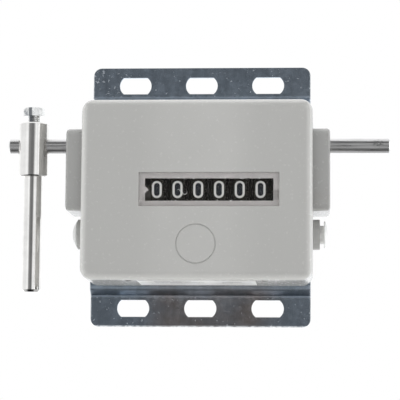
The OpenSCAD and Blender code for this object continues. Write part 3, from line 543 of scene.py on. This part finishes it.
def edges_of(points, half, closed):
    """Both edges of a band of even width along a path, with mitred corners."""
    n = len(points)
    nothing, sharpest = 1e-9, 0.45
    left, right = [], []
    for i, p in enumerate(points):
        before = points[i - 1] if closed or i else None
        after = points[(i + 1) % n] if closed or i < n - 1 else None
        ways = []
        for a, b in ((before, p), (p, after)):
            if a is not None and b is not None and math.dist(a, b) > nothing:
                length = math.dist(a, b)
                ways.append(((b[0] - a[0]) / length, (b[1] - a[1]) / length))
        tx, ty = sum(w[0] for w in ways), sum(w[1] for w in ways)
        size = math.hypot(tx, ty)
        tx, ty = tx / size, ty / size
        reach = half / max(sharpest, tx * ways[0][0] + ty * ways[0][1])
        left.append((p[0] - ty * reach, p[1] + tx * reach))
        right.append((p[0] + ty * reach, p[1] - tx * reach))
    return left, right


DIGIT_W = 4.0
DIGIT_H = 7.0
DIGIT_STROKE = 0.85


def digit_paths(n):
    """Middle lines of a digit's strokes, as (points, closed), centred on it."""
    a = (DIGIT_W - DIGIT_STROKE) / 2
    b = (DIGIT_H - DIGIT_STROKE) / 2
    top, low = b - a, a - b
    ring = arc(0, top, a, 0, 180) + arc(0, low, a, 180, 360)
    if n == 0:
        return [(ring, True)]
    if n == 1:
        return [([(-0.95, b - 1.1), (0.35, b), (0.35, -b)], False)]
    if n == 2:
        return [(arc(0, top, a, 165, -35) + [(-a, -b), (a, -b)], False)]
    if n == 3:
        r = b / 2
        upper = arc(0, b - r, r, 155, -80)
        lower = arc(0, r - b, r, 80, -155)
        return [(upper, False), (lower, False), ([(-0.35, 0.0), (0.35, 0.0)], False)]
    if n == 4:
        return [([(a * 0.6, -b), (a * 0.6, b), (-a, -b * 0.35), (a, -b * 0.35)], False)]
    if n == 5:
        bowl = arc(0, low + 0.15, a, 118, -150)
        return [([(a * 0.9, b), (-a * 0.8, b), (-a * 0.86, bowl[0][1] - 0.1)] + bowl, False)]
    if n == 6:
        bowl = arc(0, low, a, 0, 360)[:-1]
        back = [(-a, low)] + arc(0, top, a, 180, 25)
        return [(bowl, True), (back, False)]
    if n == 7:
        return [([(-a, b), (a, b), (-a * 0.3, -b)], False)]
    if n == 8:
        r = b / 2
        return [(arc(0, b - r, r, 0, 360)[:-1], True), (arc(0, r - b, r, 0, 360)[:-1], True)]
    bowl = arc(0, top, a, 0, 360)[:-1]
    back = [(a, top)] + arc(0, low, a, 0, -155)
    return [(bowl, True), (back, False)]


def printed_digits(wheel, material):
    """All ten digits of one wheel, wrapped on its rim as a thin raised print.
    Each stroke lies a little lower than the one before, so that no two tops
    share a surface."""
    middle = WHEEL_MIDDLES[wheel]
    longest = 0.6
    print_top, print_foot, lower = 0.03, -0.02, 0.004
    verts, faces = [], []
    for n in range(10):
        for layer, (points, closed) in enumerate(digit_paths(n)):
            points = finely(points, longest, closed)
            left, right = edges_of(points, DIGIT_STROKE / 2, closed)
            top_r = WHEEL_R + print_top - lower * layer
            foot_r = WHEEL_R + print_foot
            first = len(verts)
            for (lu, lv), (ru, rv) in zip(left, right):
                for u, v, r in ((lu, lv, foot_r), (lu, lv, top_r),
                                (ru, rv, top_r), (ru, rv, foot_r)):
                    angle = math.pi - DIGIT_STEP * n - v / WHEEL_R
                    verts.append((middle + u, WHEEL_Y + r * math.cos(angle),
                                  WHEEL_Z + r * math.sin(angle)))
            count = len(points)
            for i in range(count if closed else count - 1):
                a, b = first + 4 * i, first + 4 * ((i + 1) % count)
                faces += [(a + k, a + k + 1, b + k + 1, b + k) for k in range(3)]
            if not closed:
                end = first + 4 * (count - 1)
                faces += [(first + 3, first + 2, first + 1, first),
                          (end, end + 1, end + 2, end + 3)]
    piece(wheel + "_digits", verts, faces, material, wheel + "_wheel")


def tube(points, radius, sides=7, taper=0.5):
    """Round thread along a path of 3-D points, thinner towards its ends."""
    verts, faces = [], []
    n = len(points)
    off_path = Vector((0.3, 0.9, 0.2))
    for i, p in enumerate(points):
        way = (Vector(points[min(i + 1, n - 1)]) - Vector(points[max(i - 1, 0)])).normalized()
        u = way.cross(off_path).normalized()
        v = way.cross(u)
        ends = min(i, n - 1 - i) / (n / 2)
        r = radius * (taper + (1 - taper) * min(1.0, 2 * ends))
        for k in range(sides):
            a = 2 * math.pi * k / sides
            verts.append(tuple(Vector(p) + r * (math.cos(a) * u + math.sin(a) * v)))
    for i in range(n - 1):
        for k in range(sides):
            m = (k + 1) % sides
            faces.append((i * sides + k, i * sides + m, (i + 1) * sides + m, (i + 1) * sides + k))
    faces.append(tuple(range(sides))[::-1])
    faces.append(tuple((n - 1) * sides + k for k in range(sides)))
    return verts, faces


def screw_thread(material):
    """Thread ridge on the bare length of the screw between lever and head."""
    pitch, root, crest = 0.8, 2.46, 2.7
    half_root, half_crest = 0.36 * pitch, 0.05
    gap, fade_rate, steps_a_turn = 0.1, 8, 30
    z0, z1 = LEVER_HIGH.z + gap, SCREW_TOP - SCREW_HEAD - gap
    turns = (z1 - z0) / pitch
    steps = round(turns * steps_a_turn)
    verts, faces = [], []
    for i in range(steps + 1):
        t = i / steps
        a = 2 * math.pi * turns * t
        z = z0 + (z1 - z0) * t
        fade = min(1.0, fade_rate * t, fade_rate * (1 - t))
        tip = root + (crest - root) * fade
        half = half_root * max(fade, 0.1)
        for r, dz in ((root, -half), (tip, -half_crest), (tip, half_crest), (root, half)):
            verts.append((LEVER_X + r * math.cos(a), LEVER_Y + r * math.sin(a), z + dz))
    for i in range(steps):
        for k in range(3):
            a, b = 4 * i + k, 4 * (i + 1) + k
            faces.append((a, b, b + 1, a + 1))
    end = 4 * steps
    faces += [(3, 2, 1, 0), (end, end + 1, end + 2, end + 3)]
    piece("screw_thread", verts, faces, material, "stroke_shaft")


def lint_fibre(material):
    """Curled fibre that has settled on the pane over the second wheel."""
    radius, rest, sway = 0.085, 0.08, 0.04
    cx, cz = -5.45, -2.25
    bends = ((-2.2, 0.1), (-1.95, 0.75), (-1.3, 0.85), (-0.95, 0.3), (-0.45, 0.3), (0.0, -0.35),
             (0.35, -0.95), (1.0, -1.1), (1.65, -0.8), (2.05, -0.05), (1.95, 0.35))
    parts = 6
    path = []
    for i in range(1, len(bends) - 2):
        before, a, b, after = (Vector(v) for v in bends[i - 1:i + 3])
        for k in range(parts):
            t = k / parts
            at = (2 * a + (b - before) * t + (2 * before - 5 * a + 4 * b - after) * t ** 2
                  + (3 * a - before - 3 * b + after) * t ** 3) / 2
            y = PANE_LOW.y - rest - sway * math.sin(1.3 * len(path))
            path.append((cx + at.x, y, cz + at.y))
    verts, faces = tube(path, radius)
    piece("lint_fibre", verts, faces, material, "frame", smooth=True)


def window_dust(material):
    """Small flakes along the edge of the opening, on the mask."""
    rng = random.Random(41)
    flakes = 46
    rim, tip = MASK_FRONT - 0.03, MASK_FRONT - 0.07
    left, right = PANE_LOW.x + OPENING_INSET, PANE_HIGH.x - OPENING_INSET
    verts, faces = [], []
    for _ in range(flakes):
        cx = rng.uniform(left, right)
        cz = rng.choice((OPENING_TOP, OPENING_FOOT)) + rng.gauss(0, 0.22)
        size = rng.uniform(0.05, 0.17)
        first = len(verts)
        n = rng.choice((5, 6, 7))
        turn = rng.uniform(0, 6)
        long = rng.uniform(1.0, 2.4)
        for k in range(n):
            a = turn + 2 * math.pi * k / n
            r = size * rng.uniform(0.6, 1.2)
            verts.append((cx + long * r * math.cos(a), rim, cz + r * math.sin(a)))
        verts.append((cx, tip, cz))
        faces += [(first + k, first + (k + 1) % n, first + n) for k in range(n)]
    piece("window_dust", verts, faces, material, "frame")


def label_fields(material):
    """Rows of blank printed fields on the label, with no lettering."""
    inside, outside = 0.012, -0.03
    fall = LABEL_HIGH.z - LABEL_LOW.z - LABEL_FILM
    slope = fall / (LABEL_HIGH.y - LABEL_LOW.y)
    # Each row's depth behind the label's front, its width and its fields
    rows = ((3.2, 0.9, ((-17.0, -10.5), (-9.5, -2.0))),
            (6.6, 0.9, ((-17.0, -6.0), (-5.0, 3.0), (10.0, 18.0))),
            (10.0, 0.9, ((-17.0, -12.0), (-11.0, 1.0), (10.0, 14.5))),
            (14.5, 0.25, ((-19.0, 19.0),)))
    verts, faces = [], []
    for depth, width, spans in rows:
        for x0, x1 in spans:
            a = len(verts)
            y0 = LABEL_LOW.y + depth
            for x in (x0, x1):
                for y in (y0, y0 + width):
                    base = LABEL_LOW.z - slope * (y - LABEL_LOW.y) + fall
                    for drop in (inside, outside):
                        verts.append((x, y, min(base, LABEL_HIGH.z) - drop))
            faces += [(a, a + 2, a + 6, a + 4), (a, a + 1, a + 3, a + 2),
                      (a + 4, a + 6, a + 7, a + 5), (a, a + 4, a + 5, a + 1),
                      (a + 2, a + 3, a + 7, a + 6)]
    piece("label_fields", verts, faces, material, "frame")


def add_pieces():
    """Adds the forms that the CAD model leaves to the scene."""
    ink = digit_print()
    for name in WHEELS:
        printed_digits(name, ink)
    screw_thread(bpy.data.materials["screw_plated"])
    white = lint_white()
    lint_fibre(white)
    window_dust(white)
    label_fields(label_ink())


# CAD nodes

WELD_GAP = 2e-6
BEVEL_ANGLE = math.radians(32)


def dress(node, material, bevel=0.0):
    """Gives a CAD node its material, clean shading and lightly broken edges."""
    obj = frame["nodes"][node]
    obj.data.materials.clear()
    obj.data.materials.append(material)
    if bevel:
        normals = obj.data.attributes.get("custom_normal")
        if normals:
            obj.data.attributes.remove(normals)
        obj.data.shade_smooth()
        weld = obj.modifiers.new("weld", "WELD")
        weld.merge_threshold = WELD_GAP
        edge = obj.modifiers.new("edge", "BEVEL")
        edge.width = bevel * MM
        edge.segments = 2
        edge.limit_method = "ANGLE"
        edge.angle_limit = BEVEL_ANGLE
        edge.harden_normals = True
        even = obj.modifiers.new("even", "WEIGHTED_NORMAL")
        even.keep_sharp = True


def dress_all():
    """Dresses every CAD node, outer pieces first."""
    for node, material, bevel in (
            ("front_cover", moulded_grey(), 0.15),
            ("mounting_bracket", zinc_sheet(), 0.25),
            ("window_mask", mask_moulding(), 0.08),
            ("window_pane", clear_pane(), 0.06),
            ("type_label", label_paper(), 0.0),
            ("lever", turned_nickel(), 0.10),
            ("lever_screw", screw_zinc(), 0.12),
            ("drive_shaft", ground_steel(), 0.08),
            ("reset_button", white_moulding(
                "button_moulding", (0.86, 0.86, 0.845), 0.34, 0.9, DOME_X), 0.12),
            ("blanking_plug", white_moulding(
                "plug_moulding", (0.56, 0.56, 0.55), 0.34, 0.9), 0.12)):
        dress(node, material, bevel)
    black = wheel_black()
    for name in WHEELS:
        dress(name + "_wheel", black, 0.10)
    acetal = white_moulding("gear_acetal", (0.66, 0.645, 0.60), 0.4)
    for name in WHEELS[1:]:
        dress(name + "_pinion", acetal)
    dress("long_spacer", acetal)
    dress("short_spacer", acetal)
    sheet = plain_steel("inner_sheet", (0.56, 0.57, 0.59), 0.32, (6, 1, 6))
    for name in ("left_side_plate", "right_side_plate", "frame_stay", "frame_rivets",
                 "catch_bar", "feed_arm", "spring_collar", "wheel_axle", "pinion_axle",
                 "reset_comb"):
        dress(name, sheet)
    spring = plain_steel("spring_wire", (0.40, 0.40, 0.42), 0.28)
    for name in ("return_spring", "pawl_spring", "detent_spring", "reset_spring",
                 "shaft_rings", "axle_clips", "hub_pins", "pawl_pin", "feed_pawl"):
        dress(name, spring)
    bronze = sintered_bronze()
    dress("left_shaft_bush", bronze)
    dress("right_shaft_bush", bronze)


# Studio

# Each part of the surround has the turns and the rises, in degrees, where it
# fades in and out, and its level. Turns run from the front to the right, rises
# from level upwards.
BELT = (-45, -8, 26, 50)
BELOW = (-45, -36, -22, -12)
ABOVE = (14, 22, 34, 42)
AHEAD = (-114, -98, 98, 112)
MIDST = (-36, -24, 17, 22)
SURROUND = [
    ((-114, -98, -60, -44), BELT, 0.99),
    ((-60, -44, -36, -24), BELT, 1.13),
    ((-36, -24, -14, -9), BELT, 0.26),
    ((-14, -9, 9, 14), BELT, 0.19),
    ((9, 14, 17, 22), BELT, 0.7),
    ((17, 22, 30, 35), BELT, 1.11),
    ((30, 35, 43, 48), BELT, 0.98),
    ((43, 48, 54, 60), BELT, 1.55),
    ((84, 92, 98, 112), BELT, 4.0),
    ((-114, -98, -36, -24), BELOW, 1.2),
    (MIDST, BELOW, 0.35),
    (MIDST, ABOVE, 0.29),
    (AHEAD, (-70, -60, -45, -36), 0.25),
    (AHEAD, (34, 42, 56, 66), 0.05),
    (AHEAD, (56, 66, 76, 82), 0.27),
    (AHEAD, (76, 82, 91, 92), 1.6),
]
for rises, level in (((-92, -91, -40, -25), 0.6), ((-40, -25, -4, 0), 1.55), ((-4, 0, 91, 92), 1.2)):
    for behind in ((98, 112, 181, 182), (-182, -181, -114, -98)):
        SURROUND.append((behind, rises, level))

# Soft boxes that only light dull surfaces: name, place, size and power
LAMPS = (
    ("top_box", (0, -250, 900), (700, 400), 4.8),
    ("front_box", (0, -950, 250), (500, 500), 1.1),
    ("back_box", (0, 500, 600), (500, 500), 2.6),
    ("left_box", (-900, -60, 0), (500, 500), 2.8),
    ("right_box", (900, -60, 0), (500, 500), 1.7),
)
MIDDLE = (0, -20, 0)
TINT = (0.985, 1.0, 1.02)
FLOOR_HALF = 2600.0
FLOOR_Z = -125.0
FLOOR_STEPS = 12


def build_world():
    """Studio surround with soft edges between its parts, white to the camera."""
    world = bpy.data.worlds.new("studio")
    bpy.context.scene.world = world
    world.use_nodes = True
    tree = world.node_tree
    tree.nodes.clear()
    g = Graph(tree)
    x, y, z = g.axes(g.node("ShaderNodeTexCoord").outputs["Generated"])
    degrees = 180 / math.pi
    turn = g.times(g.math("ARCTAN2", x, g.times(y, -1.0)), degrees)
    rise = g.times(g.math("ARCSINE", z), degrees)
    total = 0.0
    for turns, rises, level in SURROUND:
        share = g.times(g.band(turn, *turns), g.band(rise, *rises))
        total = g.plus(g.times(share, level), total)
    soft = g.node("ShaderNodeBackground", {"Color": TINT + (1.0,), "Strength": total})
    plain = g.node("ShaderNodeBackground", {"Color": (1, 1, 1, 1), "Strength": 1.0})
    seen = g.node("ShaderNodeLightPath").outputs["Is Camera Ray"]
    blend = g.node("ShaderNodeMixShader", {0: seen, 1: soft.outputs[0], 2: plain.outputs[0]})
    g.node("ShaderNodeOutputWorld", {"Surface": blend.outputs[0]})


def build_floor():
    """Plain pale floor below the part."""
    p = Paint("floor_pale", (0.86, 0.86, 0.85), 0.7)
    p.tint("Base Color", p.mix(p.noise(60, 3), rgba(p.color), rgba(p.color, 0.97)))
    mesh = bpy.data.meshes.new("floor")
    row = FLOOR_STEPS + 1
    side = [FLOOR_HALF * (2 * i / FLOOR_STEPS - 1) for i in range(row)]
    verts = [(x * MM, y * MM, FLOOR_Z * MM) for y in side for x in side]
    faces = [(j * row + i, j * row + i + 1, (j + 1) * row + i + 1, (j + 1) * row + i)
             for j in range(FLOOR_STEPS) for i in range(FLOOR_STEPS)]
    mesh.from_pydata(verts, [], faces)
    mesh.materials.append(p.mat)
    obj = bpy.data.objects.new("floor", mesh)
    obj.visible_glossy = False
    bpy.context.scene.collection.objects.link(obj)


def build_lights():
    """Soft boxes around the part, all aimed at its middle."""
    for name, place, size, power in LAMPS:
        light = bpy.data.lights.new(name, "AREA")
        light.shape = "RECTANGLE"
        light.size, light.size_y = size[0] * MM, size[1] * MM
        light.energy = power
        obj = bpy.data.objects.new(name, light)
        obj.location = Vector(place) * MM
        way = (Vector(MIDDLE) - Vector(place)).normalized()
        obj.rotation_euler = way.to_track_quat("-Z", "Y").to_euler()
        obj.visible_glossy = False
        bpy.context.scene.collection.objects.link(obj)


def build_camera():
    """Camera at the photograph's place and angle."""
    data = bpy.data.cameras.new("camera")
    data.lens = LENS
    data.sensor_width = SENSOR_WIDTH
    data.clip_start = CLIP_NEAR
    data.clip_end = CLIP_FAR
    obj = bpy.data.objects.new("camera", data)
    turn = Euler((math.radians(90 + CAMERA_PITCH), 0.0, math.radians(CAMERA_YAW)), "XYZ")
    roll = Matrix.Rotation(math.radians(CAMERA_ROLL), 4, "Z")
    obj.matrix_world = (Matrix.Translation(Vector(CAMERA_PLACE) * MM)
                        @ turn.to_matrix().to_4x4() @ roll)
    bpy.context.scene.collection.objects.link(obj)
    bpy.context.scene.camera = obj


bpy.context.scene.view_settings.view_transform = "Standard"
dress_all()
add_pieces()
build_world()
build_floor()
build_lights()
build_camera()
